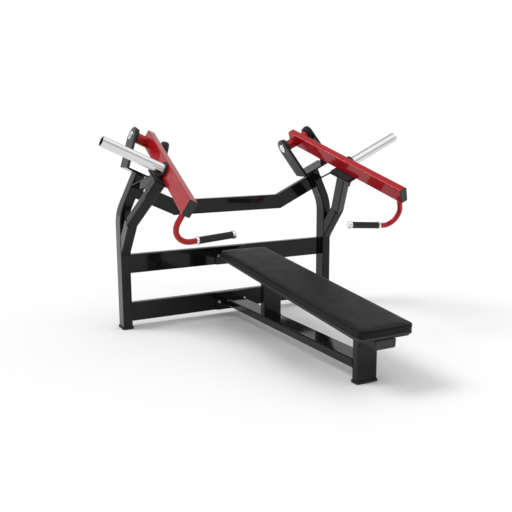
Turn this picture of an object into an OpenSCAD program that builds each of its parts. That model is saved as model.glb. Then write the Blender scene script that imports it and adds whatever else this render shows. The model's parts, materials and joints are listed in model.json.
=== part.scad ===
// Plate-loaded lying chest press: a two-post frame, a flat bench and two arms that swing on their own.
// +X is the lifter's right as seen from the foot of the bench, -Y is the foot of the bench, +Z is up.
// The origin lies on the floor, under the middle of the whole machine, which reaches from the pad's foot end
// to the backs of the pivot ears. Sizes are in millimetres, angles in degrees.

/* [Frame] */
// Distance between the centres of the two posts
post_span = 1240; // [1140:10:1340]
// Width of a post, across the machine
post_w = 50; // [40:5:60]
// Depth of a post, along the bench
post_d = 80; // [70:5:100]
// Wall thickness of every steel tube
wall = 3; // [2:0.5:4]
// Outer corner radius of the rectangular tubes
corner_r = 6; // [5:1:8]
// Height of a crossbeam's section
beam_h = 100; // [80:10:120]
// Thickness of the crossbeams, the bench posts and the pad rail
beam_t = 40; // [30:5:40]
// Height of the lower crossbeam's centre
lower_beam_z = 80; // [70:5:120]
// Height of the upper crossbeam's centre
upper_beam_z = 340; // [320:5:360]

/* [Upper branches] */
// Inward tilt of the upper branches, and outward rise of the arm axles
tilt = 25; // [20:1:30]
// Height at which the leaning upper branch would meet the post's centre line
bend_z = 605; // [590:5:640]
// Centre-line radius of the bend in each upright
bend_r = 250; // [200:10:300]
// Length of the leaning branch, from the bend's corner to the bracket base
branch_rise = 220; // [210:5:240]
// Distance of the head crossbar's raised ends from the bend's corner, along the branch
head_bar_rise = 143; // [130:1:150]
// Height of the head crossbar's section
head_bar_h = 80; // [60:5:90]
// Height of the centre of the head crossbar's level middle
head_bar_z = 622; // [610:1:640]

/* [Arm pivots] */
// Height of the arm axle above the bracket base's underside
pivot_rise = 176; // [170:1:200]
// Distance of the arm axle behind the post's centre line
pivot_back = 40; // [20:5:50]
// Clear distance between the two ears of a bracket
ear_gap = 172; // [160:2:200]
// Thickness of an ear
ear_t = 14; // [10:1:16]
// Radius of an ear's rounded top
ear_r = 48; // [42:1:52]
// Distance of an ear's bottom centre in front of the arm axle
ear_forward = 87; // [70:1:90]
// Radius of the arm axle
axle_r = 15; // [12:1:16]
// Radius of the spacer disc against the inside of each ear
disc_r = 45; // [36:1:48]
// Thickness of a spacer disc
disc_t = 12; // [8:1:14]

/* [Arms] */
// Angle by which the arms point down at rest
arm_drop = 20; // [15:1:25]
// Width of an arm's section
arm_w = 40; // [40:5:50]
// Height of an arm's section
arm_h = 77; // [70:1:80]
// Height of an arm's underside above the pivot axis, along the section
arm_low = -20; // [-24:1:-18]
// Reach of an arm in front of its pivot axis
arm_reach = 872; // [840:1:900]
// Length of an arm behind its pivot axis
arm_tail = 36; // [34:1:60]
// Outer radius of the pivot sleeve
sleeve_r = 28; // [27:1:30]
// Running clearance of the bushes on the axle, on the radius
running_gap = 0.05; // [0.02:0.01:0.1]

/* [Plate horns] */
// Radius of the plate loading horn
horn_r = 25; // [25:1:25]
// Distance of the horn in front of the pivot axis
horn_reach = 447; // [400:1:480]
// Distance of the horn's tip from the arm's centre plane
horn_tip = 344; // [300:1:360]
// Radius of the horn's collar
collar_r = 38; // [34:1:38]
// Thickness of the horn's collar
collar_t = 12; // [8:1:16]

/* [Handles] */
// Distance of the handle's root in front of the pivot axis
handle_reach = 840; // [800:1:845]
// Outer radius of the handle tube
handle_r = 13; // [12:0.5:14]
// Length of the handle's straight upper end
handle_drop = 46; // [40:1:60]
// Centre-line radius of the handle's bend
handle_bend_r = 75; // [60:1:80]
// Angle of the handle's bend
handle_bend = 118; // [110:1:120]
// Angle by which the handle turns back towards the pivot
handle_yaw = 10; // [0:1:15]
// Outer radius of the rubber grip
grip_r = 16; // [15:0.5:18]
// Length of the rubber grip
grip_len = 165; // [130:5:170]

/* [Arm rests] */
// Forward lean of the stop branches
stop_lean = 39; // [38:0.5:40]
// Inward tilt of the stop branches above their mitre
stop_tilt = 22; // [21:0.5:23]
// Distance of the mitre's centre in front of the post's centre line
mitre_forward = 146; // [144:1:148]
// Height of the mitre's centre
mitre_z = 576; // [574:1:578]
// Depth of a stop branch's section
stop_d = 60; // [50:5:60]
// Length of a stop plate, along the arm
stop_plate_len = 155; // [140:5:160]
// Width of a stop plate, across the arm
stop_plate_w = 120; // [100:5:130]
// Distance of the front edge of a stop plate in front of the pivot axis
stop_plate_reach = 518; // [515:1:525]
// Thickness of the rubber bumper under the arm
bumper_t = 10; // [8:1:12]

/* [Bench] */
// Distance of the front column's front face in front of the posts' centre line
column_front = 1280; // [1180:10:1320]
// Distance of the mid post's front face in front of the posts' centre line
mid_front = 483; // [430:1:550]
// Width of the bench posts, the base tube and the pad rail
bench_w = 100; // [80:5:120]
// Downward slope of the pad rail, towards the foot end
rail_slope = 5.85; // [5:0.05:6]
// Length of the pad rail, along its slope
rail_len = 1397; // [1380:1:1420]
// Width of the pad
pad_w = 270; // [240:5:300]
// Length of the pad
pad_len = 1267; // [1200:1:1280]
// Thickness of the pad
pad_t = 45; // [40:1:60]
// Distance of the pad's head end in front of the posts' centre line, along the rail
pad_start = 141; // [120:1:160]
// Corner radius of the pad, seen from above
pad_corner_r = 24; // [20:1:50]
// Thickness of the pad's board
board_t = 10; // [8:1:14]

/* [Hidden] */
$fn = 64;

LEFT = -1;
RIGHT = 1;
INNER = -1;
OUTER = 1;
BIG = 4000;
post_x = post_span / 2;
crossbar_y = post_d / 2 - beam_t / 2;
foot_floor = 6;
foot_rim = 11;
foot_lip = 5;
base_plate_t = 10;
base_plate_front = 80;
axle_len = ear_gap + 2 * ear_t;
pin_clearance = 0.05;
weld_overlap = 1;
bend_wall_swell = 0.05;
seam_gap = 1;
seam_w = 3;
seam_swell = 0.6;
axle_thread_r = 6;
axle_thread_len = 30;
washer_r = 24;
washer_t = 6;
socket_r = 6;
socket_depth = 4;
bush_flange_r = 26;
bush_flange_t = 3;
bush_len = 30;
sleeve_bore_r = 21;
sleeve_len = ear_gap - 2 * disc_t - 8;
arm_mid = arm_low + arm_h / 2;
horn_bore_r = horn_r - 4;
horn_root_r = horn_r + 1;
handle_bore_r = handle_r - 2.5;
ring_start = 22;
ring_len = 12;
ring_r = 19;
grip_cap_len = 16;
grip_cap_r = 18;
grip_start = ring_start + ring_len;
grip_end = grip_start + grip_len;
stop_gap = 0.3;
stop_plate_t = 8;
bumper_margin = 5;
bumper_top = arm_low - stop_gap;
stop_plate_top = bumper_top - bumper_t;
stop_plate_low = stop_plate_top - stop_plate_t;
side_plate_t = 8;
side_plate_len = 78;
side_bolt_drop = 48;
mitre_lean = atan(tan(stop_lean) / cos(stop_tilt / 2));
stop_upper_len = 345;
brace_t = 8;
brace_rise = 158;
brace_slope = 18;
flange_w = 190;
flange_t = 8;
flange_bolt_x = 78;
m10_r = 5;
m10_head_r = 9.8;
m10_head_t = 7;
m10_nut_t = 8;
m10_thread_out = 3;
m8_r = 4;
m8_head_r = 7.5;
m8_head_t = 5;
drill_gap = 0.3;
mid_y = -(mid_front - beam_t / 2);
column_y = -(column_front - beam_t / 2);
base_top_z = lower_beam_z + beam_t / 2;
pad_screw_reach = [250, 700, 1120];
board_inset = 10;
end_plug_t = 5;
end_plug_len = 18;
end_plug_slack = 1;
head_reach = pivot_back + ear_r;
foot_reach = (pad_start + pad_len) * cos(rail_slope) + (beam_t / 2 + board_t + pad_t) * sin(rail_slope);

frame_black = "#2b2b2c";
arm_red = "#b51c28";
rubber_black = "#1c1c1d";
plastic_black = "#222222";
chrome = "#cfd2d4";
pad_black = "#333535";
board_black = "#1a1a1a";

// ---------- Profiles ----------

module rounded_rect(w, d, r) {
    square([w - 2 * r, d], center = true);
    square([w, d - 2 * r], center = true);
    for (x = [-1, 1], y = [-1, 1]) {
        translate([x * (w / 2 - r), y * (d / 2 - r)]) circle(r);
    }
}

// The wall of a rectangular tube, thickened by swell on both its faces
module tube_profile(w, d, swell = 0) {
    bore_cut = 2 * (wall + swell);
    difference() {
        rounded_rect(w + 2 * swell, d + 2 * swell, corner_r + swell);
        rounded_rect(w - bore_cut, d - bore_cut, corner_r - wall - swell);
    }
}

module ring(r_out, r_in, len) {
    difference() {
        cylinder(r = r_out, h = len);
        translate([0, 0, -1]) cylinder(r = r_in, h = len + 2);
    }
}

module hex_bolt(shank_r, shank_len, head_r, head_t) {
    cylinder(r = head_r, h = head_t, $fn = 6);
    translate([0, 0, -shank_len]) cylinder(r = shank_r, h = shank_len);
}

// A cover the size of the tube, with a loose block behind it that fits inside the tube
module end_plug(w, d) {
    linear_extrude(end_plug_t) rounded_rect(w, d, corner_r);
    translate([0, 0, -end_plug_len])
        linear_extrude(end_plug_len + 1)
            rounded_rect(w - 2 * wall - end_plug_slack, d - 2 * wall - end_plug_slack, corner_r - wall);
}

// ---------- Reference frames ----------

// Every shape is drawn with the posts' centre line at Y = 0, and moved to the machine's own middle last
module centred() {
    translate([0, (foot_reach - head_reach) / 2, 0]) children();
}

// Mirrors a right-hand shape to the left for side = LEFT
module on_side(side) {
    if (side == LEFT) {
        mirror([1, 0, 0]) children();
    } else {
        children();
    }
}

// X runs out along the arm axle, Z runs up the leaning branch, and the origin is the bend's corner
module branch_frame() {
    translate([post_x, 0, bend_z]) rotate([0, -tilt, 0]) children();
}

// X runs out along the arm axle, which is its X axis, -Y along the level arm
module pivot_frame() {
    branch_frame() translate([0, pivot_back, branch_rise + pivot_rise]) children();
}

// As pivot_frame, but -Y runs along the resting arm and Z is square to its top
module arm_frame() {
    pivot_frame() rotate([arm_drop, 0, 0]) children();
}

// Z runs up the stop branch above its mitre, and the origin is the mitre's centre
module stop_frame() {
    translate([post_x, -mitre_forward, mitre_z])
        rotate([0, -stop_tilt, 0])
            rotate([stop_lean, 0, 0])
                children();
}

// -Y runs down the pad rail's centre line and Z is square to the rail's top
module rail_frame() {
    translate([0, 0, upper_beam_z]) rotate([rail_slope, 0, 0]) children();
}

// X runs along the handle's straight upper end's side, and -Z down that end
module handle_frame() {
    arm_frame() translate([0, -handle_reach, arm_low]) rotate([0, 0, -handle_yaw]) children();
}

// -Z runs along the grip, from the end of the handle's bend
module grip_frame() {
    handle_frame()
        translate([-handle_bend_r, 0, -handle_drop])
            rotate([0, handle_bend, 0])
                translate([handle_bend_r, 0, 0])
                    children();
}

// ---------- Frame ----------

// Both straights run a little way into the bend, whose wall is a hair thicker
module upright(side) {
    bend_start = bend_z - bend_r * tan(tilt / 2);
    straight_len = branch_rise - bend_r * tan(tilt / 2);
    color(frame_black) centred() on_side(side) {
        translate([post_x, 0, foot_floor])
            linear_extrude(bend_start - foot_floor + weld_overlap)
                tube_profile(post_w, post_d);
        translate([post_x - bend_r, 0, bend_start])
            rotate([90, 0, 0])
                rotate_extrude(angle = tilt)
                    translate([bend_r, 0])
                        tube_profile(post_w, post_d, bend_wall_swell);
        translate([post_x - bend_r, 0, bend_start])
            rotate([0, -tilt, 0])
                translate([bend_r, 0, -weld_overlap])
                    linear_extrude(straight_len + weld_overlap)
                        tube_profile(post_w, post_d);
    }
}

// Everything on the far side of the mitre plane: above it for dir = 1, below it for dir = -1
module mitre_waste(dir) {
    translate([post_x, -mitre_forward, mitre_z])
        rotate([0, -stop_tilt / 2, 0])
            rotate([mitre_lean, 0, 0])
                translate([0, 0, dir * BIG / 2])
                    cube(BIG, center = true);
}

// Everything above the underside of the stop plate
module above_stop_plate() {
    arm_frame() translate([0, 0, stop_plate_low + BIG / 2]) cube(BIG, center = true);
}

module stop_branch(side) {
    lower_len = 260;
    overlap = 60;
    color(frame_black) centred() on_side(side) {
        difference() {
            translate([post_x, -mitre_forward, mitre_z])
                rotate([stop_lean, 0, 0])
                    translate([0, 0, -lower_len])
                        linear_extrude(lower_len + overlap)
                            tube_profile(post_w, stop_d);
            mitre_waste(1);
            translate([post_x, BIG / 2 - post_d / 2, mitre_z]) cube(BIG, center = true);
        }
        difference() {
            stop_frame()
                translate([0, 0, -overlap])
                    linear_extrude(stop_upper_len + overlap)
                        tube_profile(post_w, stop_d);
            mitre_waste(-1);
            above_stop_plate();
            stop_bolt_axis() cylinder(r = m10_r + drill_gap, h = 2 * wall + 2, center = true);
        }
    }
}

// Z points out of the side bracket, and the origin is on the stop branch's outer face
module stop_bolt_axis() {
    stop_frame()
        translate([post_w / 2, 0, stop_upper_len - side_plate_len - side_bolt_drop])
            rotate([0, 90, 0])
                children();
}

module crossbeam(z) {
    color(frame_black) centred() difference() {
        translate([0, crossbar_y, z])
            rotate([0, 90, 0])
                linear_extrude(post_span - post_w, center = true)
                    tube_profile(beam_h, beam_t);
        for (x = [-1, 1]) {
            translate([x * flange_bolt_x, crossbar_y, z])
                rotate([90, 0, 0])
                    cylinder(r = m10_r + drill_gap, h = beam_t + 2, center = true);
        }
    }
}

// The level middle and the two raised ends stop just short of the planes that halve the bends, where a weld
// ring a little larger than the tube joins them
module head_crossbar() {
    bend_e = (head_bar_z - bend_z - head_bar_rise * cos(tilt)) / sin(tilt);
    bend_x = post_x + bend_e * cos(tilt) - head_bar_rise * sin(tilt);
    overlap = 60;
    color(frame_black) centred() {
        difference() {
            translate([0, crossbar_y, head_bar_z])
                rotate([0, 90, 0])
                    linear_extrude(2 * (bend_x + overlap), center = true)
                        tube_profile(head_bar_h, beam_t);
            for (side = [LEFT, RIGHT]) on_side(side) head_mitre(bend_x)
                translate([BIG / 2 - seam_gap / 2, 0, 0])
                    cube(BIG, center = true);
        }
        for (side = [LEFT, RIGHT]) on_side(side) {
            difference() {
                branch_frame()
                    translate([bend_e - overlap, crossbar_y, head_bar_rise])
                        rotate([0, 90, 0])
                            linear_extrude(overlap - bend_e - post_w / 2)
                                tube_profile(head_bar_h, beam_t);
                head_mitre(bend_x) translate([seam_gap / 2 - BIG / 2, 0, 0]) cube(BIG, center = true);
            }
            head_mitre(bend_x)
                rotate([0, 90, 0])
                    linear_extrude(seam_w, center = true)
                        tube_profile(head_bar_h / cos(tilt / 2), beam_t, seam_swell);
        }
    }
}

// Z lies in the plane that halves the head crossbar's bend, and X is square to it, pointing out
module head_mitre(bend_x) {
    translate([bend_x, crossbar_y, head_bar_z]) rotate([0, -tilt / 2, 0]) children();
}

module foot(x, y, w, d) {
    color(rubber_black) centred() translate([x, y, 0]) difference() {
        linear_extrude(foot_rim) rounded_rect(w + 2 * foot_lip, d + 2 * foot_lip, corner_r + foot_lip);
        translate([0, 0, foot_floor]) linear_extrude(foot_rim) rounded_rect(w, d, corner_r);
    }
}

// ---------- Arm pivots ----------

module bracket_base(side) {
    color(frame_black) centred() on_side(side) branch_frame()
        translate([-ear_gap / 2, -base_plate_front, branch_rise])
            cube([ear_gap, base_plate_front + post_d / 2, base_plate_t]);
}

// Rounded at the axle, leaning forward down to a flat foot
module ear_outline() {
    lean = atan(ear_forward / pivot_rise);
    intersection() {
        union() {
            circle(ear_r);
            rotate(-lean) translate([-ear_r, -2 * pivot_rise]) square([2 * ear_r, 2 * pivot_rise]);
        }
        translate([-BIG / 2, -pivot_rise]) square(BIG);
    }
}

module ear(side, place) {
    start = place == OUTER ? ear_gap / 2 : -ear_gap / 2 - ear_t;
    color(frame_black) centred() on_side(side) pivot_frame()
        translate([start, 0, 0])
            rotate([90, 0, 90])
                linear_extrude(ear_t)
                    difference() {
                        ear_outline();
                        circle(axle_r + pin_clearance);
                    }
}

module axle(side) {
    color(chrome) centred() on_side(side) pivot_frame() rotate([0, 90, 0]) difference() {
        cylinder(r = axle_r, h = axle_len, center = true);
        for (end = [-1, 1]) {
            translate([0, 0, end * (axle_len / 2 - axle_thread_len / 2 + 0.5)])
                cylinder(r = axle_thread_r, h = axle_thread_len + 1, center = true);
        }
    }
}

module axle_screws() {
    chamfer = 2;
    color(chrome) centred() for (side = [LEFT, RIGHT], end = [-1, 1]) on_side(side) pivot_frame() {
        rotate([0, end * 90, 0]) translate([0, 0, axle_len / 2]) difference() {
            union() {
                cylinder(r = washer_r, h = washer_t - chamfer);
                translate([0, 0, washer_t - chamfer])
                    cylinder(r1 = washer_r, r2 = washer_r - chamfer, h = chamfer);
                translate([0, 0, 4 - axle_thread_len])
                    cylinder(r = axle_thread_r - pin_clearance, h = axle_thread_len - 4);
            }
            translate([0, 0, washer_t - socket_depth]) cylinder(r = socket_r, h = socket_depth + 1, $fn = 6);
        }
    }
}

// Thick black discs that fill the space between the ears and the arm's sleeve
module pivot_discs() {
    color(rubber_black) centred() for (side = [LEFT, RIGHT], end = [-1, 1]) on_side(side) pivot_frame() {
        rotate([0, end * 90, 0])
            translate([0, 0, ear_gap / 2 - disc_t])
                ring(disc_r, axle_r + pin_clearance, disc_t);
    }
}

// ---------- Arm rests ----------

module stop_plate(side) {
    color(frame_black) centred() on_side(side) arm_frame()
        translate([-stop_plate_w / 2, -stop_plate_reach, stop_plate_low])
            cube([stop_plate_w, stop_plate_len, stop_plate_t]);
}

module stop_bumper(side) {
    color(rubber_black) centred() on_side(side) arm_frame()
        translate([0, -stop_plate_reach + stop_plate_len / 2, stop_plate_top])
            linear_extrude(bumper_t)
                rounded_rect(stop_plate_w - 2 * bumper_margin, stop_plate_len - 2 * bumper_margin, corner_r);
}

module stop_bracket(side) {
    color(frame_black) centred() on_side(side) difference() {
        stop_frame()
            translate([post_w / 2, 0, stop_upper_len])
                rotate([90, 180, 90])
                    linear_extrude(side_plate_t)
                        side_plate_outline();
        above_stop_plate();
        stop_bolt_axis() cylinder(r = m10_r + drill_gap, h = 3 * side_plate_t, center = true);
    }
}

// Square at the stop plate, rounded at its lower end
module side_plate_outline() {
    round_r = 14;
    len = side_plate_len + side_bolt_drop + 22;
    translate([-stop_d / 2, 0]) square([stop_d, len - round_r]);
    translate([round_r - stop_d / 2, 0]) square([stop_d - 2 * round_r, len]);
    for (x = [-1, 1]) translate([x * (stop_d / 2 - round_r), len - round_r]) circle(round_r);
}

module stop_bracket_bolts() {
    color(chrome) centred() for (side = [LEFT, RIGHT]) on_side(side) {
        stop_bolt_axis()
            translate([0, 0, side_plate_t])
                hex_bolt(m10_r, side_plate_t + wall, m10_head_r, m10_head_t);
    }
}

// A flat strap from the leaning branch's front face up to the underside of the stop plate
module stop_brace(side) {
    strap_len = 330;
    color(frame_black) centred() on_side(side) difference() {
        branch_frame()
            translate([0, -post_d / 2, brace_rise])
                rotate([-brace_slope, 0, 0])
                    translate([-post_w / 2, -strap_len, -brace_t])
                        cube([post_w, strap_len + brace_t, brace_t]);
        branch_frame() translate([0, BIG / 2 - post_d / 2, 0]) cube(BIG, center = true);
        above_stop_plate();
    }
}

// ---------- Bench ----------

// Everything above the underside of the pad rail
module above_rail_underside() {
    rail_frame() translate([0, 0, BIG / 2 - beam_t / 2]) cube(BIG, center = true);
}

module base_tube() {
    color(frame_black) centred()
        translate([0, -flange_t, lower_beam_z])
            rotate([90, 0, 0])
                linear_extrude(-column_y - beam_t / 2 - flange_t)
                    tube_profile(bench_w, beam_t);
}

module bench_post(y, low_z) {
    color(frame_black) centred() difference() {
        translate([0, y, low_z]) linear_extrude(upper_beam_z - low_z) tube_profile(bench_w, beam_t);
        above_rail_underside();
    }
}

module pad_rail() {
    color(frame_black) centred() difference() {
        rail_frame()
            translate([0, beam_t, 0])
                rotate([90, 0, 0])
                    linear_extrude(rail_len + beam_t)
                        tube_profile(bench_w, beam_t);
        translate([0, BIG / 2 - flange_t, 0]) cube(BIG, center = true);
        rail_frame() for (reach = pad_screw_reach) {
            translate([0, -reach, 0]) cylinder(r = m8_r + drill_gap, h = beam_t + 2, center = true);
        }
    }
}

module rail_end_cap() {
    color(plastic_black) centred() rail_frame()
        translate([0, -rail_len, 0])
            rotate([90, 0, 0])
                end_plug(bench_w, beam_t);
}

module flange(z) {
    color(frame_black) centred() translate([0, 0, z]) rotate([90, 0, 0]) difference() {
        linear_extrude(flange_t) rounded_rect(flange_w, beam_h, corner_r);
        for (x = [-1, 1]) {
            translate([x * flange_bolt_x, 0, -1]) cylinder(r = m10_r + drill_gap, h = flange_t + 2);
        }
    }
}

// Bolts that run right through the flanges and the crossbeams, with a nut behind each
module flange_bolts() {
    shank_len = flange_t + beam_t + m10_nut_t + m10_thread_out;
    color(chrome) centred() for (x = [-1, 1], z = [lower_beam_z, upper_beam_z]) {
        translate([x * flange_bolt_x, -flange_t, z])
            rotate([90, 0, 0])
                hex_bolt(m10_r, shank_len, m10_head_r, m10_head_t);
        translate([x * flange_bolt_x, beam_t, z]) rotate([-90, 0, 0]) difference() {
            cylinder(r = m10_head_r, h = m10_nut_t, $fn = 6);
            translate([0, 0, -1]) cylinder(r = m10_r + pin_clearance, h = m10_nut_t + 2);
        }
    }
}

module pad_board() {
    color(board_black) centred() rail_frame()
        translate([0, -pad_start - pad_len / 2, beam_t / 2])
            difference() {
                linear_extrude(board_t)
                    rounded_rect(
                        pad_w - 2 * board_inset,
                        pad_len - 2 * board_inset,
                        pad_corner_r - board_inset
                    );
                for (reach = pad_screw_reach) {
                    translate([0, pad_start + pad_len / 2 - reach, -1])
                        cylinder(r = m8_r + drill_gap, h = board_t + 2);
                }
            }
}

module bench_pad() {
    color(pad_black) centred() rail_frame()
        translate([0, -pad_start - pad_len / 2, beam_t / 2 + board_t])
            linear_extrude(pad_t)
                rounded_rect(pad_w, pad_len, pad_corner_r);
}

// Long screws, from the rail's underside up into the board
module pad_screws() {
    color(chrome) centred() rail_frame() for (reach = pad_screw_reach) {
        translate([0, -reach, -beam_t / 2])
            rotate([180, 0, 0])
                hex_bolt(m8_r, beam_t + board_t, m8_head_r, m8_head_t);
    }
}

// ---------- Arms ----------

module arm_beam(side) {
    color(arm_red) centred() on_side(side) arm_frame() difference() {
        translate([0, arm_tail, arm_mid]) rotate([90, 0, 0]) {
            linear_extrude(arm_reach + arm_tail) tube_profile(arm_w, arm_h);
            linear_extrude(wall) rounded_rect(arm_w, arm_h, corner_r);
        }
        rotate([0, 90, 0]) cylinder(r = sleeve_r, h = 2 * arm_w, center = true);
    }
}

module pivot_sleeve(side) {
    color(arm_red) centred() on_side(side) pivot_frame()
        rotate([0, 90, 0])
            translate([0, 0, -sleeve_len / 2])
                ring(sleeve_r, sleeve_bore_r, sleeve_len);
}

module sleeve_bushes(side) {
    color(chrome) centred() on_side(side) pivot_frame() for (end = [-1, 1]) {
        rotate([0, end * 90, 0]) {
            translate([0, 0, sleeve_len / 2 - bush_len])
                ring(sleeve_bore_r - pin_clearance, axle_r + running_gap, bush_len + 1);
            translate([0, 0, sleeve_len / 2]) ring(bush_flange_r, axle_r + running_gap, bush_flange_t);
        }
    }
}

// X runs out along the horn from the arm's centre plane
module horn_frame() {
    arm_frame() translate([0, -horn_reach, arm_mid]) rotate([0, 90, 0]) children();
}

// The collar sits on a slightly thicker root, so that the plates' own length starts at its face
module plate_horn(side) {
    color(chrome) centred() on_side(side) horn_frame() difference() {
        union() {
            translate([0, 0, arm_w / 2]) cylinder(r = horn_r, h = horn_tip - arm_w / 2);
            translate([0, 0, arm_w / 2]) cylinder(r = horn_root_r, h = collar_t);
        }
        cylinder(r = horn_bore_r, h = horn_tip + 1);
    }
}

module horn_collar(side) {
    color(rubber_black) centred() on_side(side) horn_frame()
        translate([0, 0, arm_w / 2])
            ring(collar_r, horn_root_r + pin_clearance, collar_t);
}

// The handle as a round bar, its two ends moved out by past_ends. Both straights run a little way into the
// bend, whose own radius differs by bend_swell so that the surfaces cross cleanly.
module handle_bar(r, bend_swell, past_ends) {
    handle_frame() {
        translate([0, 0, -handle_drop - weld_overlap])
            cylinder(r = r, h = handle_drop + weld_overlap + past_ends);
        translate([-handle_bend_r, 0, -handle_drop])
            rotate([-90, 0, 0])
                rotate_extrude(angle = handle_bend)
                    translate([handle_bend_r, 0])
                        circle(r + bend_swell);
    }
    grip_frame()
        translate([0, 0, -grip_end - past_ends])
            cylinder(r = r, h = grip_end + weld_overlap + past_ends);
}

module handle_tube(side) {
    color(arm_red) centred() on_side(side) difference() {
        handle_bar(handle_r, bend_wall_swell, 0);
        handle_bar(handle_bore_r, -bend_wall_swell, 1);
    }
}

module grip_ring(side) {
    color(chrome) centred() on_side(side) grip_frame()
        translate([0, 0, -grip_start])
            ring(ring_r, handle_r + pin_clearance, ring_len);
}

module grip(side) {
    color(rubber_black) centred() on_side(side) grip_frame()
        translate([0, 0, -grip_end])
            ring(grip_r, handle_r + pin_clearance, grip_len);
}

module grip_cap(side) {
    chamfer = 3;
    color(chrome) centred() on_side(side) grip_frame() translate([0, 0, -grip_end]) rotate([180, 0, 0]) {
        cylinder(r = grip_cap_r, h = grip_cap_len - chamfer);
        translate([0, 0, grip_cap_len - chamfer])
            cylinder(r1 = grip_cap_r, r2 = grip_cap_r - chamfer, h = chamfer);
        translate([0, 0, -grip_cap_len]) cylinder(r = handle_bore_r - pin_clearance, h = grip_cap_len + 1);
    }
}

module arm_end_cap(side) {
    color(plastic_black) centred() on_side(side) arm_frame()
        translate([0, -arm_reach, arm_mid])
            rotate([90, 0, 0])
                end_plug(arm_w, arm_h);
}

// ---------- One line per node ----------

upright(LEFT);  // left_upright
upright(RIGHT);  // right_upright
stop_branch(LEFT);  // left_stop_branch
stop_branch(RIGHT);  // right_stop_branch
crossbeam(upper_beam_z);  // upper_crossbeam
crossbeam(lower_beam_z);  // lower_crossbeam
head_crossbar();
bracket_base(LEFT);  // left_bracket_base
bracket_base(RIGHT);  // right_bracket_base
ear(LEFT, INNER);  // left_inner_ear
ear(LEFT, OUTER);  // left_outer_ear
ear(RIGHT, INNER);  // right_inner_ear
ear(RIGHT, OUTER);  // right_outer_ear
axle(LEFT);  // left_axle
axle(RIGHT);  // right_axle
axle_screws();
pivot_discs();
stop_plate(LEFT);  // left_stop_plate
stop_plate(RIGHT);  // right_stop_plate
stop_bumper(LEFT);  // left_stop_bumper
stop_bumper(RIGHT);  // right_stop_bumper
stop_bracket(LEFT);  // left_stop_bracket
stop_bracket(RIGHT);  // right_stop_bracket
stop_brace(LEFT);  // left_stop_brace
stop_brace(RIGHT);  // right_stop_brace
stop_bracket_bolts();
base_tube();
bench_post(column_y, foot_floor);  // front_column
bench_post(mid_y, base_top_z);  // mid_post
pad_rail();
rail_end_cap();
flange(upper_beam_z);  // upper_flange
flange(lower_beam_z);  // lower_flange
flange_bolts();
foot(-post_x, 0, post_w, post_d);  // left_foot
foot(post_x, 0, post_w, post_d);  // right_foot
foot(0, column_y, bench_w, beam_t);  // front_foot
pad_board();
bench_pad();
pad_screws();
arm_beam(LEFT);  // left_arm_beam
arm_beam(RIGHT);  // right_arm_beam
pivot_sleeve(LEFT);  // left_pivot_sleeve
pivot_sleeve(RIGHT);  // right_pivot_sleeve
sleeve_bushes(LEFT);  // left_sleeve_bushes
sleeve_bushes(RIGHT);  // right_sleeve_bushes
plate_horn(LEFT);  // left_plate_horn
plate_horn(RIGHT);  // right_plate_horn
horn_collar(LEFT);  // left_horn_collar
horn_collar(RIGHT);  // right_horn_collar
handle_tube(LEFT);  // left_handle_tube
handle_tube(RIGHT);  // right_handle_tube
grip(LEFT);  // left_grip
grip(RIGHT);  // right_grip
grip_ring(LEFT);  // left_grip_ring
grip_ring(RIGHT);  // right_grip_ring
grip_cap(LEFT);  // left_grip_cap
grip_cap(RIGHT);  // right_grip_cap
arm_end_cap(LEFT);  // left_arm_end_cap
arm_end_cap(RIGHT);  // right_arm_end_cap
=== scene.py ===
# The looks of a plate-loaded lying chest press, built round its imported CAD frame.
# Metres. +X is the lifter's right as seen from the foot of the bench, -Y is the foot, +Z is up.
import json
import math

import bmesh
import bpy
import numpy as np
from mathutils import Matrix, Vector
from mathutils.bvhtree import BVHTree


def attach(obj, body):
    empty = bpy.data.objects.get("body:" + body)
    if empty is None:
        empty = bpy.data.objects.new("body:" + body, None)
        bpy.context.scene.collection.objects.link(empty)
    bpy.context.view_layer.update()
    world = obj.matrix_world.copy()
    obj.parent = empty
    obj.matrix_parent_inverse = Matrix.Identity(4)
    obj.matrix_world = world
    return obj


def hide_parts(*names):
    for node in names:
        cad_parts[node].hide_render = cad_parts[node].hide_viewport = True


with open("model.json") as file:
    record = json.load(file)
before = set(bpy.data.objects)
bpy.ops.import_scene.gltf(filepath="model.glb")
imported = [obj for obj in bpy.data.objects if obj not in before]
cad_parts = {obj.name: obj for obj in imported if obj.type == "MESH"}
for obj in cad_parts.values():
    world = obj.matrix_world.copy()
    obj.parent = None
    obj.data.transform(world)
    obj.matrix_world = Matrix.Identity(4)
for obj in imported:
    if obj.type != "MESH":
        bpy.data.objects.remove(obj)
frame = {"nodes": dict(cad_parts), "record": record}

MM = 0.001
SIDES = ("left", "right")
scene = bpy.context.scene
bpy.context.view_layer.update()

# Edges of flat steel parts are broken by this much. Tubes have their rounded corners from CAD
PLATE_EDGE = 1.2 * MM
BOLT_EDGE = 0.7 * MM
RUBBER_EDGE = 2.0 * MM
CAP_EDGE = 3.8 * MM

# Inside this radius is the horn's bore, whose colour is painted near-black: painted shade inside the hole
HORN_BORE = 21.3 * MM

# A weld bead's size, the distance between its ripples, and how much they change its radius
WELD_RADIUS = 2.4 * MM
WELD_STEP = 1.3 * MM
WELD_PITCH = 4.2 * MM
WELD_RIPPLE = 0.16
WELD_SIDES = 8
# A point this near another piece takes part in the joint, and a bead this near a face is backed by it
WELD_REACH = 3.2 * MM
WELD_BACKING = 0.5 * MM

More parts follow.
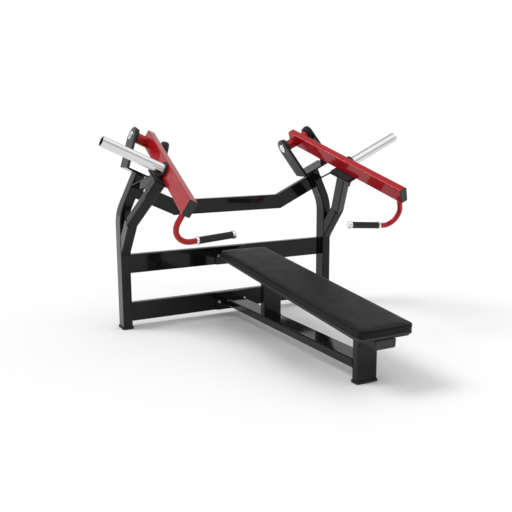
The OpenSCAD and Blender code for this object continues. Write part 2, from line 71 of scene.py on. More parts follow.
# The cushion starts inside the CAD pad by an inset at the sides and a sink at the top, and swells up to a cap
CUSHION_VOXEL = 5 * MM
CUSHION_CAP = 5 * MM
CUSHION_INSET = 0.5 * MM
CUSHION_SINK = 3 * MM
CUSHION_TUCK = 1 * MM
CUSHION_TUCK_HEIGHT = 2 * MM
CUSHION_HELD = 3 * MM
CUSHION_EDGE = 4.5 * MM
CUSHION_PRESSURE = 4
CUSHION_FRAMES = 20
EDGE_STEPS = 6
PAD_CORNER = 24 * MM
SMALLEST_CORNER = 2 * MM

# The welt and the stitches run round the cushion's side, at these distances below the pad's top
WELT_DROP = 13 * MM
WELT_RADIUS = 1.3 * MM
WELT_STEP = 4 * MM
STITCH_DROP = 17 * MM
STITCH_LENGTH = 4.2 * MM
STITCH_GAP = 2.4 * MM
STITCH_RADIUS = 0.55 * MM
STITCH_TAPER = ((0, 0.35), (0.2, 0.9), (0.5, 1), (0.8, 0.9), (1, 0.35))
TRIM_HEIGHT = 9 * MM
TRIM_PROUD = 2 * MM
TRIM_DEPTH = 3 * MM
TRIM_EDGE = 1 * MM
TRIM_INSET = 2 * MM
TRIM_STEP = 6 * MM

GRIP_RINGS = 220
GRIP_SEGMENTS = 96
KNURL_DEPTH = 0.45 * MM
KNURL_TURNS = 24
KNURL_FADE = 2 * MM
GRIP_LIP = 7 * MM
GRIP_ROUNDING = 1.5 * MM
GRIP_ROUNDING_SLOPE = 0.6

FLOOR_RADIUS = 60
ROOM_LIGHT = 0.66
BACKDROP = 1.0

# The camera stands in front of the foot end, to the left of the bench
CAMERA_PLACE = (-1.7193, -2.8709, 1.0493)
CAMERA_YAW = 28.054
CAMERA_PITCH = 10.389
CAMERA_ROLL = 0.256
CAMERA_LENS = 49.81
CAMERA_SENSOR = 36


# ---------- Geometry read from the CAD frame ----------

def points_of(node):
    """A CAD node's vertices, as an array."""
    vertices = frame["nodes"][node].data.vertices
    flat = np.zeros(len(vertices) * 3)
    vertices.foreach_get("co", flat)
    return flat.reshape(-1, 3)


def surface_of(node):
    """A search tree over a CAD node's faces."""
    mesh = frame["nodes"][node].data
    return BVHTree.FromPolygons([v.co for v in mesh.vertices], [p.vertices[:] for p in mesh.polygons])


def main_axes(points):
    """The principal axes of some points, widest spread first."""
    _, _, rows = np.linalg.svd(points - points.mean(0), full_matrices=False)
    return [Vector(row) for row in rows]


class Block:
    """A CAD node's own box: its axes from its largest flat faces, longest side first."""

    def __init__(self, node):
        mesh = frame["nodes"][node].data
        area = {}
        for face in mesh.polygons:
            n = face.normal if max(face.normal, key=abs) > 0 else -face.normal
            key = tuple(round(c, 3) for c in n)
            area[key] = area.get(key, 0) + face.area
        ranked = [Vector(key).normalized() for key in sorted(area, key=area.get, reverse=True)]
        first = ranked[0]
        second = next(n for n in ranked[1:] if abs(n.dot(first)) < 0.01)
        axes = [first, second, first.cross(second)]
        points = points_of(node)
        spans = []
        for axis in axes:
            along = points @ np.array(axis)
            spans.append((along.max() - along.min(), axis, (along.max() + along.min()) / 2))
        spans.sort(key=lambda s: -s[0])
        self.size = [s[0] for s in spans]
        self.axes = [s[1] for s in spans]
        self.centre = sum((s[1] * s[2] for s in spans), Vector())


def pointing(axis, towards):
    """The axis, turned to point the same way as towards."""
    return axis if axis.dot(towards) > 0 else -axis


def flat_outline(points):
    """The convex outline of points that lie in one plane: its corners in order, and the plane's normal."""
    u, v, normal = main_axes(points)
    flat = sorted({(round(float(p @ np.array(u)), 6), round(float(p @ np.array(v)), 6)) for p in points})
    height = float(np.mean(points @ np.array(normal)))

    def half(sequence):
        chain = []
        for p in sequence:
            while len(chain) > 1 and (
                (chain[-1][0] - chain[-2][0]) * (p[1] - chain[-2][1])
                <= (chain[-1][1] - chain[-2][1]) * (p[0] - chain[-2][0])
            ):
                chain.pop()
            chain.append(p)
        return chain[:-1]

    corners = half(flat) + half(reversed(flat))
    return [u * a + v * b + normal * height for a, b in corners], normal


def contact_outline(node, against):
    """The outline of the end of one CAD node where it meets another."""
    tree = surface_of(against)
    near = [p for p in points_of(node) if tree.find_nearest(Vector(p), WELD_REACH)[0] is not None]
    return flat_outline(np.array(near))


# ---------- Mesh making ----------

def new_piece(name, mesh, material, body, smooth=True):
    """A finished piece that rides on a CAD body."""
    piece = bpy.data.objects.new(name, mesh)
    scene.collection.objects.link(piece)
    mesh.materials.append(material)
    mesh.polygons.foreach_set("use_smooth", [smooth] * len(mesh.polygons))
    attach(piece, body)
    return piece


def mesh_from(name, vertices, faces):
    """A mesh out of vertices and faces."""
    mesh = bpy.data.meshes.new(name)
    mesh.from_pydata(vertices, [], faces)
    mesh.validate()
    return mesh


def resample(loop, step, closed=True):
    """Points at even distances along a path of straight pieces, with each point's direction."""
    ends = loop[1:] + loop[:1] if closed else loop[1:]
    starts = loop if closed else loop[:-1]
    lengths = [(b - a).length for a, b in zip(starts, ends)]
    total = sum(lengths)
    count = max(8, round(total / step))
    made = []
    piece, done = 0, 0.0
    for i in range(count if closed else count + 1):
        target = min(total * i / count, total * (1 - 1e-9))
        while done + lengths[piece] < target:
            done += lengths[piece]
            piece += 1
        a, b = starts[piece], ends[piece]
        made.append((a.lerp(b, (target - done) / lengths[piece]), (b - a).normalized()))
    return made, total


def sweep(path, normal, profile, closed=True):
    """Vertices and faces of a profile carried along a path. profile(i) gives (across, along normal) pairs."""
    vertices, faces = [], []
    count = len(path)
    sides = len(profile(0))
    for i, (point, _) in enumerate(path):
        ahead = path[(i + 1) % count if closed else min(i + 1, count - 1)][0]
        behind = path[i - 1 if closed else max(i - 1, 0)][0]
        across = (ahead - behind).normalized().cross(normal)
        vertices += [point + across * a + normal * b for a, b in profile(i)]
    for i in range(count if closed else count - 1):
        this, following = i * sides, (i + 1) % count * sides
        for k in range(sides):
            j = (k + 1) % sides
            faces.append((this + k, this + j, following + j, following + k))
    if not closed:
        faces.append(tuple(reversed(range(sides))))
        faces.append(tuple(range((count - 1) * sides, count * sides)))
    return vertices, faces


def round_profile(radius, sides):
    """A round profile to sweep."""
    turns = [2 * math.pi * k / sides for k in range(sides)]
    return [(radius * math.cos(t), radius * math.sin(t)) for t in turns]


def weld_bead(loop, normal, closed=True):
    """A rippled bead along a joint line."""
    path, total = resample(loop, WELD_STEP, closed)
    ripples = max(1, round(total / WELD_PITCH))

    def profile(i):
        phase = i * ripples / len(path) % 1
        return round_profile(WELD_RADIUS * (1 + WELD_RIPPLE * (0.5 - phase)), WELD_SIDES)

    return sweep(path, normal, profile, closed)


def join_parts(name, parts):
    """One mesh out of several lists of vertices and faces."""
    vertices, faces = [], []
    for part_vertices, part_faces in parts:
        offset = len(vertices)
        vertices += part_vertices
        faces += [tuple(i + offset for i in face) for face in part_faces]
    return mesh_from(name, vertices, faces)


def rounded_loop(half_w, half_l, radius, arc=10):
    """Corners of a rounded rectangle, anticlockwise, in its own plane."""
    loop = []
    for quarter, (sx, sy) in enumerate(((1, 1), (-1, 1), (-1, -1), (1, -1))):
        for k in range(arc + 1):
            turn = math.pi / 2 * (quarter + k / arc)
            x = sx * (half_w - radius) + radius * math.cos(turn)
            y = sy * (half_l - radius) + radius * math.sin(turn)
            loop.append((x, y))
    return loop


# ---------- Materials ----------

class Paint:
    """A material whose Principled shader is fed by noise, grain and wear, all in the row frame's metres."""

    def __init__(self, name, **sockets):
        self.material = bpy.data.materials.new(name)
        self.material.use_nodes = True
        self.tree = self.material.node_tree
        self.shader = self.tree.nodes["Principled BSDF"]
        self.where = self.tree.nodes.new("ShaderNodeTexCoord").outputs["Object"]
        for socket, value in sockets.items():
            self.shader.inputs[socket.replace("_", " ")].default_value = value

    def node(self, kind, **inputs):
        made = self.tree.nodes.new(kind)
        for socket, value in inputs.items():
            target = made.inputs[socket.replace("_", " ")]
            if hasattr(value, "is_linked"):
                self.tree.links.new(value, target)
            else:
                target.default_value = value
        return made

    def noise(self, scale, detail=2.0, vector=None):
        made = self.node("ShaderNodeTexNoise", Vector=vector or self.where, Scale=scale, Detail=detail)
        return made.outputs["Fac"]

    def cells(self, scale, feature="F1"):
        made = self.node("ShaderNodeTexVoronoi", Vector=self.where, Scale=scale)
        made.feature = feature
        return made.outputs["Distance"]

    def spread(self, value, low, high, to_low, to_high):
        """Maps value from low..high to to_low..to_high, and clamps it."""
        made = self.node("ShaderNodeMapRange", Value=value)
        for socket, number in zip(("From Min", "From Max", "To Min", "To Max"), (low, high, to_low, to_high)):
            made.inputs[socket].default_value = number
        return made.outputs["Result"]

    def blend(self, factor, dark, light):
        """A colour between dark and light."""
        made = self.tree.nodes.new("ShaderNodeMix")
        made.data_type = "RGBA"
        self.tree.links.new(factor, made.inputs["Factor"])
        for socket, colour in zip((made.inputs[6], made.inputs[7]), (dark, light)):
            if hasattr(colour, "is_linked"):
                self.tree.links.new(colour, socket)
            else:
                socket.default_value = (*colour, 1)
        return made.outputs[2]

    def bump(self, height, depth, normal=None):
        made = self.node("ShaderNodeBump", Height=height, Distance=depth, Strength=1.0)
        if normal is not None:
            self.tree.links.new(normal, made.inputs["Normal"])
        return made.outputs["Normal"]

    def maths(self, operation, first, second=None, kind="ShaderNodeMath", output="Value"):
        """One step of arithmetic. The first input is always linked, and the second may be a constant."""
        made = self.tree.nodes.new(kind)
        made.operation = operation
        self.tree.links.new(first, made.inputs[0])
        if hasattr(second, "is_linked"):
            self.tree.links.new(second, made.inputs[1])
        elif second is not None:
            made.inputs[1].default_value = second
        return made.outputs[output]

    def distance_along(self, axis):
        """How far along an axis the surface is."""
        return self.maths("DOT_PRODUCT", self.where, axis, "ShaderNodeVectorMath")

    def distance_from(self, point, axis):
        """How far the surface is from a line."""
        centred = self.maths("SUBTRACT", self.where, point, "ShaderNodeVectorMath", "Vector")
        crossed = self.maths("CROSS_PRODUCT", centred, axis, "ShaderNodeVectorMath", "Vector")
        return self.maths("LENGTH", crossed, None, "ShaderNodeVectorMath")

    def feed(self, socket, value):
        self.tree.links.new(value, self.shader.inputs[socket])


def frame_paint():
    """Glossy charcoal-black powder coat with orange peel and a little settled dust."""
    paint = Paint("charcoal_powder_coat", Specular_IOR_Level=0.17, Coat_Weight=0.18, Coat_Roughness=0.02)
    cloudy = paint.noise(7, 3)
    grain = paint.noise(1500, 1)
    tone = paint.blend(cloudy, (0.0032, 0.0034, 0.0037), (0.0052, 0.0054, 0.0058))
    dust = paint.spread(grain, 0.62, 0.8, 0, 0.12)
    paint.feed("Base Color", paint.blend(dust, tone, (0.05, 0.05, 0.048)))
    paint.feed("Roughness", paint.spread(paint.noise(22, 4), 0.3, 0.75, 0.07, 0.14))
    peel = paint.bump(paint.noise(260, 2), 0.00002)
    paint.feed("Normal", paint.bump(grain, 0.000004, peel))
    return paint.material


def arm_paint():
    """Metallic red under a clear coat."""
    paint = Paint(
        "metallic_red", Metallic=0.15, Specular_IOR_Level=0.06,
        Coat_Weight=0.58, Coat_Roughness=0.02, Coat_IOR=1.5,
    )
    flakes = paint.cells(2600)
    cloudy = paint.noise(9, 3)
    deep = paint.blend(cloudy, (0.33, 0.001, 0.005), (0.42, 0.002, 0.008))
    paint.feed("Base Color", paint.blend(paint.spread(flakes, 0.0, 0.35, 0.22, 0), deep, (0.80, 0.03, 0.04)))
    paint.feed("Roughness", paint.spread(paint.noise(30, 3), 0.3, 0.7, 0.26, 0.38))
    paint.feed("Normal", paint.bump(paint.noise(240, 2), 0.000015))
    return paint.material


def bright_plating():
    """Polished plating with faint hairlines."""
    paint = Paint("polished_plating", Metallic=1.0)
    cloudy = paint.noise(14, 3)
    paint.feed("Base Color", paint.blend(cloudy, (0.72, 0.73, 0.74), (0.84, 0.84, 0.85)))
    paint.feed("Roughness", paint.spread(paint.noise(60, 5), 0.3, 0.72, 0.06, 0.16))
    paint.feed("Normal", paint.bump(paint.noise(900, 2), 0.00001))
    return paint.material


def worn_horn(name, axis, tip):
    """Plating rubbed by weight plates: fine rings, stronger towards the horn's tip, and the bore painted
    near-black as painted shade inside the hole.
    """
    paint = Paint(name, Metallic=1.0)
    distance = paint.distance_along(axis)
    rings = paint.node("ShaderNodeCombineXYZ", X=distance).outputs["Vector"]
    stretched = paint.noise(1400, 3, rings)
    patches = paint.noise(24, 4)
    reach = Vector(tip).dot(Vector(axis))
    towards_tip = paint.spread(distance, reach - 0.3, reach, 0.35, 1)
    rub = paint.maths("MULTIPLY", paint.spread(stretched, 0.45, 0.7, 0, 1), towards_tip)
    worn = paint.blend(rub, (0.70, 0.70, 0.71), (0.56, 0.56, 0.57))
    # Painted shade: inside the bore radius the colour goes near-black, standing in for the dark of the deep
    # hole
    bore_painted_shade = paint.spread(paint.distance_from(tip, axis), HORN_BORE, HORN_BORE + 0.5 * MM, 1, 0)
    paint.feed("Base Color", paint.blend(bore_painted_shade, worn, (0.012, 0.012, 0.012)))
    soft = paint.spread(patches, 0.35, 0.7, 0.13, 0.24)
    paint.feed("Roughness", paint.maths("ADD", soft, paint.spread(rub, 0, 1, 0, 0.1)))
    paint.feed("Normal", paint.bump(stretched, 0.00002))
    return paint.material


def moulded_rubber(name, dark, light, rough):
    """Matt rubber with a fine pebble."""
    paint = Paint(name, Specular_IOR_Level=0.35)
    paint.feed("Base Color", paint.blend(paint.noise(40, 4), dark, light))
    paint.feed("Roughness", paint.spread(paint.noise(90, 3), 0.3, 0.7, rough - 0.08, rough + 0.08))
    paint.feed("Normal", paint.bump(paint.noise(1300, 3), 0.00008))
    return paint.material


def moulded_plastic():
    """Black plastic with the spark-eroded grain of an injection mould."""
    paint = Paint("black_moulded_plastic", Specular_IOR_Level=0.4)
    paint.feed("Base Color", paint.blend(paint.noise(30, 3), (0.011, 0.012, 0.012), (0.018, 0.019, 0.019)))
    paint.feed("Roughness", paint.spread(paint.noise(60, 3), 0.3, 0.7, 0.34, 0.5))
    paint.feed("Normal", paint.bump(paint.cells(1900), 0.00004))
    return paint.material


def turned_bronze():
    """Oiled bearing bronze."""
    paint = Paint("bearing_bronze", Metallic=1.0)
    paint.feed("Base Color", paint.blend(paint.noise(50, 4), (0.36, 0.22, 0.08), (0.58, 0.40, 0.17)))
    paint.feed("Roughness", paint.spread(paint.noise(120, 3), 0.3, 0.7, 0.25, 0.42))
    paint.feed("Normal", paint.bump(paint.noise(1000, 2), 0.00002))
    return paint.material


def leatherette():
    """Matt black upholstery vinyl: pebbled grain cells, finer creases between them, soft handling marks."""
    paint = Paint("black_leatherette", Specular_IOR_Level=0.13, Sheen_Weight=0.02, Sheen_Roughness=0.4)
    handled = paint.noise(5, 4)
    paint.feed("Base Color", paint.blend(handled, (0.0034, 0.0032, 0.0031), (0.0056, 0.0053, 0.0051)))
    paint.feed("Roughness", paint.spread(paint.noise(16, 5), 0.3, 0.72, 0.33, 0.45))
    creases = paint.spread(paint.cells(620, "DISTANCE_TO_EDGE"), 0, 0.12, 0, 1)
    pebble = paint.bump(creases, 0.00014)
    paint.feed("Normal", paint.bump(paint.noise(1600, 3), 0.00004, pebble))
    return paint.material


def stained_board():
    """Black-stained plywood, with the grain running along the bench."""
    paint = Paint("stained_plywood", Specular_IOR_Level=0.3)
    stretch = paint.node("ShaderNodeMapping", Vector=paint.where)
    stretch.inputs["Scale"].default_value = (120, 6, 300)
    grain = paint.noise(1, 6, stretch.outputs["Vector"])
    paint.feed("Base Color", paint.blend(grain, (0.010, 0.008, 0.006), (0.034, 0.028, 0.022)))
    paint.feed("Roughness", paint.spread(grain, 0.3, 0.7, 0.55, 0.75))
    paint.feed("Normal", paint.bump(grain, 0.00025))
    return paint.material


def thread():
    """Black sewing thread."""
    paint = Paint("black_thread", Roughness=0.75, Specular_IOR_Level=0.25, Sheen_Weight=0.2)
    paint.feed("Base Color", paint.blend(paint.noise(2200, 2), (0.010, 0.010, 0.010), (0.045, 0.044, 0.043)))
    paint.feed("Normal", paint.bump(paint.noise(3000, 2), 0.0001))
    return paint.material


mounts = {m["name"]: m for m in frame["record"]["mounts"]}
SHOP = {
    "frame_paint": frame_paint(),
    "arm_paint": arm_paint(),
    "bright_chrome": bright_plating(),
    "black_rubber": moulded_rubber("moulded_rubber", (0.008, 0.008, 0.008), (0.016, 0.016, 0.016), 0.62),
    "grip_rubber": moulded_rubber("grip_compound", (0.009, 0.009, 0.009), (0.019, 0.019, 0.019), 0.55),
    "black_plastic": moulded_plastic(),
    "bush_bronze": turned_bronze(),
    "pad_cover": leatherette(),
    "board_wood": stained_board(),
}
slot_of = {entry["node"]: entry["material_slot"] for entry in frame["record"]["subparts"]}
for node, piece in frame["nodes"].items():
    piece.material_slots[0].material = SHOP[slot_of[node]]
for side in SIDES:
    mount = mounts[f"{side}_plate_horn"]
    axis = Vector(mount["axis"])
    tip = Vector(mount["pos_m"]) + axis * mount["dims"]["length_mm"] * MM / 2
    horn = frame["nodes"][f"{side}_plate_horn"]
    horn.material_slots[0].material = worn_horn(f"{side}_horn_plating", axis, tip)


# ---------- Broken edges on the CAD pieces ----------

def soften(node, width):
    """Breaks a CAD piece's sharp edges, so that they catch the light."""
    piece = frame["nodes"][node]
    merge = piece.modifiers.new("merge", "WELD")
    merge.merge_threshold = 0.01 * MM
    flatten = piece.modifiers.new("flatten", "DECIMATE")
    flatten.decimate_type = "DISSOLVE"
    flatten.angle_limit = math.radians(0.4)
    edge = piece.modifiers.new("edge", "BEVEL")
    edge.width = width
    edge.segments = 3
    edge.limit_method = "ANGLE"
    edge.angle_limit = math.radians(40)
    edge.harden_normals = True


EDGES = {
    PLATE_EDGE: (
        "bracket_base", "inner_ear", "outer_ear", "stop_plate", "stop_bracket", "stop_brace", "flange",
        "pad_board",
    ),
    BOLT_EDGE: ("bolts", "screws", "grip_ring", "plate_horn"),
    RUBBER_EDGE: ("foot", "bumper", "collar", "discs"),
    CAP_EDGE: ("end_cap",),
}
for width, endings in EDGES.items():
    for node in frame["nodes"]:
        if node.endswith(endings):
            soften(node, width)


# ---------- Weld beads ----------

def both(pattern, *others):
    """The same pair of CAD nodes on both sides."""
    return [(pattern.format(side), *(o.format(side) for o in others)) for side in SIDES]


FRAME_WELDS = (
    [(beam, f"{side}_upright") for side in SIDES for beam in ("upper_crossbeam", "lower_crossbeam")]
    + [("head_crossbar", f"{side}_upright") for side in SIDES]
    + both("{}_stop_branch", "{}_upright")
    + both("{}_stop_branch", "{}_stop_plate")
    + both("{}_stop_bracket", "{}_stop_plate")
    + both("{}_stop_brace", "{}_upright")
    + both("{}_stop_brace", "{}_stop_plate")
    + both("{}_upright", "{}_bracket_base")
    + both("{}_bracket_base", "{}_inner_ear")
    + both("{}_bracket_base", "{}_outer_ear")
)
BENCH_WELDS = [
    ("base_tube", "lower_flange"),
    ("pad_rail", "upper_flange"),
    ("base_tube", "front_column"),
    ("mid_post", "base_tube"),
    ("mid_post", "pad_rail"),
    ("front_column", "pad_rail"),
]
for name, pairs in (("frame_welds", FRAME_WELDS), ("bench_welds", BENCH_WELDS)):
    beads = [weld_bead(*contact_outline(node, against)) for node, against in pairs]
    new_piece(name, join_parts(name, beads), SHOP["frame_paint"], "frame")


def ring_bead(centre, axis, radius, against, count=96):
    """A bead round a circle, as far as the circle lies on another CAD node's face."""
    across = axis.orthogonal().normalized()
    other = axis.cross(across)
    turns = [2 * math.pi * k / count for k in range(count)]
    ring = [centre + (across * math.cos(t) + other * math.sin(t)) * radius for t in turns]
    tree = surface_of(against)
    backed = [tree.find_nearest(point, WELD_BACKING)[0] is not None for point in ring]
    if all(backed):
        return weld_bead(ring, axis)
    first = next(k for k in range(count) if backed[k] and not backed[k - 1])
    turned = [(ring[(first + k) % count], backed[(first + k) % count]) for k in range(count)]
    return weld_bead([point for point, kept in turned if kept], axis, closed=False)


def arm_welds(side):
    """The beads that join an arm to its pivot sleeve, on both faces, and to its handle."""
    joint = next(j for j in frame["record"]["behaviour"]["joints"] if j["child"] == f"{side}_arm")
    axis = Vector(mounts[f"{side}_plate_horn"]["axis"])
    pivot = Vector(joint["pos_m"])
    along = points_of(f"{side}_arm_beam") @ np.array(axis)
    sleeve = points_of(f"{side}_pivot_sleeve")
    radius = max((Vector(p) - pivot).cross(axis).length for p in sleeve)
    faces = [pivot + axis * (float(end) - pivot.dot(axis)) for end in (along.min(), along.max())]
    beads = [ring_bead(centre, axis, radius, f"{side}_arm_beam") for centre in faces]
    beads.append(weld_bead(*contact_outline(f"{side}_handle_tube", f"{side}_arm_beam")))
    name = f"{side}_arm_welds"
    new_piece(name, join_parts(name, beads), SHOP["arm_paint"], f"{side}_arm")


for side in SIDES:
    arm_welds(side)


# ---------- Grips ----------

def knurled_grip(side):
    """A rubber grip with a crossed knurl between two plain lips, in place of the plain CAD tube."""
    node = f"{side}_grip"
    points = points_of(node)
    axis = main_axes(points)[0]
    along = points @ np.array(axis)
    length = along.max() - along.min()
    middle = Vector(points.mean(0))
    middle += axis * ((along.max() + along.min()) / 2 - middle.dot(axis))
    across = axis.orthogonal().normalized()
    other = axis.cross(across)
    away = np.array([(Vector(p) - middle).cross(axis).length for p in points])
    outer, inner = away.max(), away.min()
    vertices, faces = [], []
    for i in range(GRIP_RINGS + 1):
        t = i / GRIP_RINGS * length
        from_end = min(t, length - t)
        knurled = min(1, max(0, (from_end - GRIP_LIP) / KNURL_FADE))
        rounding = max(0, GRIP_ROUNDING - from_end)
        for k in range(GRIP_SEGMENTS):
            turn = 2 * math.pi * k / GRIP_SEGMENTS
            twist = t / outer
            ridge = max(
                math.cos(KNURL_TURNS * (turn + twist)),
                math.cos(KNURL_TURNS * (turn - twist)),
            )
            radius = outer - knurled * KNURL_DEPTH * (1 - ridge) - rounding * GRIP_ROUNDING_SLOPE
            point = middle + axis * (t - length / 2)
            vertices.append(point + (across * math.cos(turn) + other * math.sin(turn)) * radius)
    for i in range(GRIP_RINGS):
        for k in range(GRIP_SEGMENTS):
            j = (k + 1) % GRIP_SEGMENTS
            a, b = i * GRIP_SEGMENTS, (i + 1) * GRIP_SEGMENTS
            faces.append((a + k, a + j, b + j, b + k))
    for ring, sign in ((0, -1), (GRIP_RINGS, 1)):
        start = len(vertices)
        end = middle + axis * (sign * length / 2)
        for k in range(GRIP_SEGMENTS):
            turn = 2 * math.pi * k / GRIP_SEGMENTS
            vertices.append(end + (across * math.cos(turn) + other * math.sin(turn)) * inner)
        for k in range(GRIP_SEGMENTS):
            j = (k + 1) % GRIP_SEGMENTS
            a = ring * GRIP_SEGMENTS
            quad = (a + k, start + k, start + j, a + j)
            faces.append(quad if sign < 0 else tuple(reversed(quad)))
    mesh = mesh_from(f"{side}_grip_rubber", vertices, faces)
    grip = new_piece(f"{side}_grip_rubber", mesh, SHOP["grip_rubber"], f"{side}_arm")
    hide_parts(node)


for side in SIDES:
    knurled_grip(side)


# ---------- The bench cushion ----------

def slab_mesh(levels, radius):
    """A closed slab from stacked outlines, given as (half width, half length, height) from the bottom up."""
    vertices, faces = [], []
    size = 0
    for half_w, half_l, height in levels:
        loop = rounded_loop(half_w, half_l, max(radius - (levels[0][0] - half_w), SMALLEST_CORNER))
        size = len(loop)
        vertices += [(x, y, height) for x, y in loop]
    for i in range(len(levels) - 1):
        for k in range(size):
            j = (k + 1) % size
            faces.append((i * size + k, i * size + j, (i + 1) * size + j, (i + 1) * size + k))
    faces.append(tuple(reversed(range(size))))
    faces.append(tuple(range((len(levels) - 1) * size, len(levels) * size)))
    return mesh_from("cushion_start", vertices, faces)


def evaluated_copy(piece):
    """The piece's mesh with its modifiers applied."""
    seen = piece.evaluated_get(bpy.context.evaluated_depsgraph_get())
    return bpy.data.meshes.new_from_object(seen)


def swell(piece):
    """Inflates the cushion as cloth, with its base held. Points move outwards only, up to a cap."""
    start = [(v.co.copy(), v.normal.copy()) for v in piece.data.vertices]
    held = piece.vertex_groups.new(name="held")
    held.add([v.index for v in piece.data.vertices if v.co.z < CUSHION_HELD], 1.0, "REPLACE")
    cloth = piece.modifiers.new("swell", "CLOTH")
    cloth.settings.use_pressure = True
    cloth.settings.uniform_pressure_force = CUSHION_PRESSURE
    cloth.settings.effector_weights.gravity = 0
    cloth.settings.vertex_group_mass = "held"
    for step in range(1, CUSHION_FRAMES + 1):
        scene.frame_set(step)
    swollen = evaluated_copy(piece)
    moved = [v.co.copy() for v in swollen.vertices]
    piece.modifiers.remove(cloth)
    for vertex, (before, outward), after in zip(piece.data.vertices, start, moved):
        rise = max((after - before).dot(outward), 0)
        vertex.co = before + outward * (CUSHION_CAP * rise / (rise + CUSHION_CAP))
    scene.frame_set(1)


pad = Block("bench_pad")
pad_length, pad_width, pad_thick = pad.size
pad_up = pointing(pad.axes[2], Vector((0, 0, 1)))
pad_along = pointing(pad.axes[0], Vector((0, 1, 0)))
pad_across = pad_along.cross(pad_up)
pad_base = pad.centre - pad_up * pad_thick / 2
pad_place = Matrix((pad_across, pad_along, pad_up)).transposed().to_4x4()
pad_place.translation = pad_base


def cushion():
    """The upholstered pad: a rounded slab, remeshed, inflated as cloth and smoothed."""
    half_w = pad_width / 2 - CUSHION_INSET
    half_l = pad_length / 2 - CUSHION_INSET
    top = pad_thick - CUSHION_SINK
    levels = [(half_w - CUSHION_TUCK, half_l - CUSHION_TUCK, 0), (half_w, half_l, CUSHION_TUCK_HEIGHT)]
    for k in range(EDGE_STEPS + 1):
        turn = math.pi / 2 * k / EDGE_STEPS
        inset = CUSHION_EDGE * (1 - math.cos(turn))
        levels.append((half_w - inset, half_l - inset, top - CUSHION_EDGE * (1 - math.sin(turn))))
    piece = bpy.data.objects.new("bench_cushion", slab_mesh(levels, PAD_CORNER))
    scene.collection.objects.link(piece)
    remesh = piece.modifiers.new("remesh", "REMESH")
    remesh.mode = "VOXEL"
    remesh.voxel_size = CUSHION_VOXEL
    remeshed = evaluated_copy(piece)
    piece.modifiers.remove(remesh)
    piece.data = remeshed
    swell(piece)
    even = piece.modifiers.new("even", "SMOOTH")
    even.factor = 0.5
    even.iterations = 2
    finer = piece.modifiers.new("finer", "SUBSURF")
    finer.levels = 1
    finer.render_levels = 1
    mesh = evaluated_copy(piece)
    mesh.transform(pad_place)
    bpy.data.objects.remove(piece)
    made = new_piece("bench_cushion", mesh, SHOP["pad_cover"], "frame")
    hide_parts("bench_pad")
    return made


def pad_loop(inset, height):
    """The pad's outline, moved in by an inset, at a height above its base."""
    flat = rounded_loop(pad_width / 2 - inset, pad_length / 2 - inset, PAD_CORNER)
    return [pad_place @ Vector((x, y, height)) for x, y in flat]


def wrap_round(tree, drop):
    """A loop round the cushion's side, at a distance below the pad's top."""
    loop = []
    for point, direction in resample(pad_loop(0, pad_thick - drop), WELT_STEP)[0]:
        outward = direction.cross(pad_up)
        loop.append(tree.ray_cast(point + outward * 0.05, -outward)[0])
    return loop


def stitch_profile(i):
    """A stitch's round section, thinner at its ends."""
    return round_profile(STITCH_RADIUS * STITCH_TAPER[i][1], 6)


def stitch_row(path, total):
    """Short threads one after another along a path of a total length."""
    count = round(total / (STITCH_LENGTH + STITCH_GAP))
    threads = []
    for i in range(count):
        point, direction = path[int(i / count * len(path))]
        run = [(point + direction * STITCH_LENGTH * t, direction) for t, _ in STITCH_TAPER]
        threads.append(sweep(run, pad_up, stitch_profile, closed=False))
    return threads


def trimmings(made):
    """The welt and stitches round the cushion's side, and the moulded trim round its base."""
    mesh = made.data
    tree = BVHTree.FromPolygons([v.co for v in mesh.vertices], [p.vertices[:] for p in mesh.polygons])
    welt_path, _ = resample(wrap_round(tree, WELT_DROP), WELT_STEP)
    welt = mesh_from("cushion_welt", *sweep(welt_path, pad_up, lambda i: round_profile(WELT_RADIUS, 8)))
    new_piece("cushion_welt", welt, SHOP["pad_cover"], "frame")
    stitch_path, total = resample(wrap_round(tree, STITCH_DROP), 1 * MM)
    stitches = join_parts("cushion_stitches", stitch_row(stitch_path, total))
    new_piece("cushion_stitches", stitches, thread(), "frame")
    trim_path, _ = resample(pad_loop(TRIM_INSET, TRIM_HEIGHT / 2), TRIM_STEP)
    half_h = TRIM_HEIGHT / 2
    outer = TRIM_PROUD + TRIM_EDGE
    section = [
        (-TRIM_DEPTH, -half_h), (TRIM_PROUD, -half_h), (outer, -half_h + TRIM_EDGE),
        (outer, half_h - TRIM_EDGE), (TRIM_PROUD, half_h), (-TRIM_DEPTH, half_h),
    ]
    trim = mesh_from("cushion_trim", *sweep(trim_path, pad_up, lambda i: section))
    new_piece("cushion_trim", trim, SHOP["black_plastic"], "frame", smooth=False)


trimmings(cushion())


# ---------- Stage, light and camera ----------

def stage():
    """A plain white floor out to the horizon."""
    mesh = bpy.data.meshes.new("floor")
    form = bmesh.new()
    bmesh.ops.create_circle(form, cap_ends=True, segments=96, radius=FLOOR_RADIUS)
    form.to_mesh(mesh)
    form.free()
    floor = bpy.data.objects.new("floor", mesh)
    scene.collection.objects.link(floor)
    paint = Paint("floor_white", Specular_IOR_Level=0.2, Roughness=0.7)
    paint.feed("Base Color", paint.blend(paint.noise(3, 2), (0.90, 0.90, 0.90), (0.92, 0.92, 0.92)))
    mesh.materials.append(paint.material)


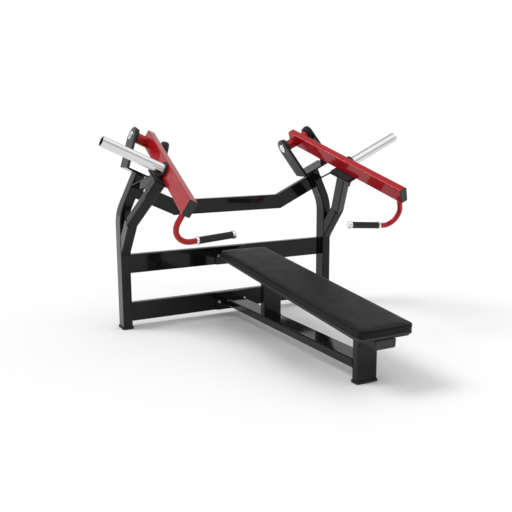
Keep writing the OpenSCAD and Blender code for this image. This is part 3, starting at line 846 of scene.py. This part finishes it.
def sky():
    """Soft grey room light; the backdrop itself is white."""
    world = bpy.data.worlds.new("studio")
    scene.world = world
    world.use_nodes = True
    tree = world.node_tree
    lit = tree.nodes["Background"]
    lit.inputs["Color"].default_value = (1, 1, 1, 1)
    lit.inputs["Strength"].default_value = ROOM_LIGHT
    seen = tree.nodes.new("ShaderNodeBackground")
    seen.inputs["Color"].default_value = (1, 1, 1, 1)
    seen.inputs["Strength"].default_value = BACKDROP
    path = tree.nodes.new("ShaderNodeLightPath")
    mix = tree.nodes.new("ShaderNodeMixShader")
    tree.links.new(path.outputs["Is Camera Ray"], mix.inputs[0])
    tree.links.new(lit.outputs[0], mix.inputs[1])
    tree.links.new(seen.outputs[0], mix.inputs[2])
    tree.links.new(mix.outputs[0], tree.nodes["World Output"].inputs["Surface"])


def sun(name, azimuth, height, strength, spread):
    """A soft light from far off, coming from an azimuth and a height above the floor, in degrees."""
    data = bpy.data.lights.new(name, "SUN")
    data.energy = strength
    data.angle = math.radians(spread)
    lamp = bpy.data.objects.new(name, data)
    a, h = math.radians(azimuth), math.radians(height)
    towards = Vector((math.sin(a) * math.cos(h), math.cos(a) * math.cos(h), math.sin(h)))
    lamp.rotation_euler = towards.to_track_quat("Z", "Y").to_euler()
    scene.collection.objects.link(lamp)


def camera():
    """The camera at the viewing angle that the part is shown from."""
    data = bpy.data.cameras.new("camera")
    data.lens = CAMERA_LENS
    data.sensor_width = CAMERA_SENSOR
    data.clip_end = 200
    eye = bpy.data.objects.new("camera", data)
    scene.collection.objects.link(eye)
    eye.matrix_world = (
        Matrix.Translation(CAMERA_PLACE)
        @ Matrix.Rotation(math.radians(-CAMERA_YAW), 4, "Z")
        @ Matrix.Rotation(math.radians(90 - CAMERA_PITCH), 4, "X")
        @ Matrix.Rotation(math.radians(-CAMERA_ROLL), 4, "Z")
    )
    scene.camera = eye


stage()
sky()
sun("key", azimuth=-62, height=50, strength=1.4, spread=26)
sun("fill", azimuth=120, height=60, strength=0.5, spread=60)
camera()
scene.view_settings.view_transform = "Standard"
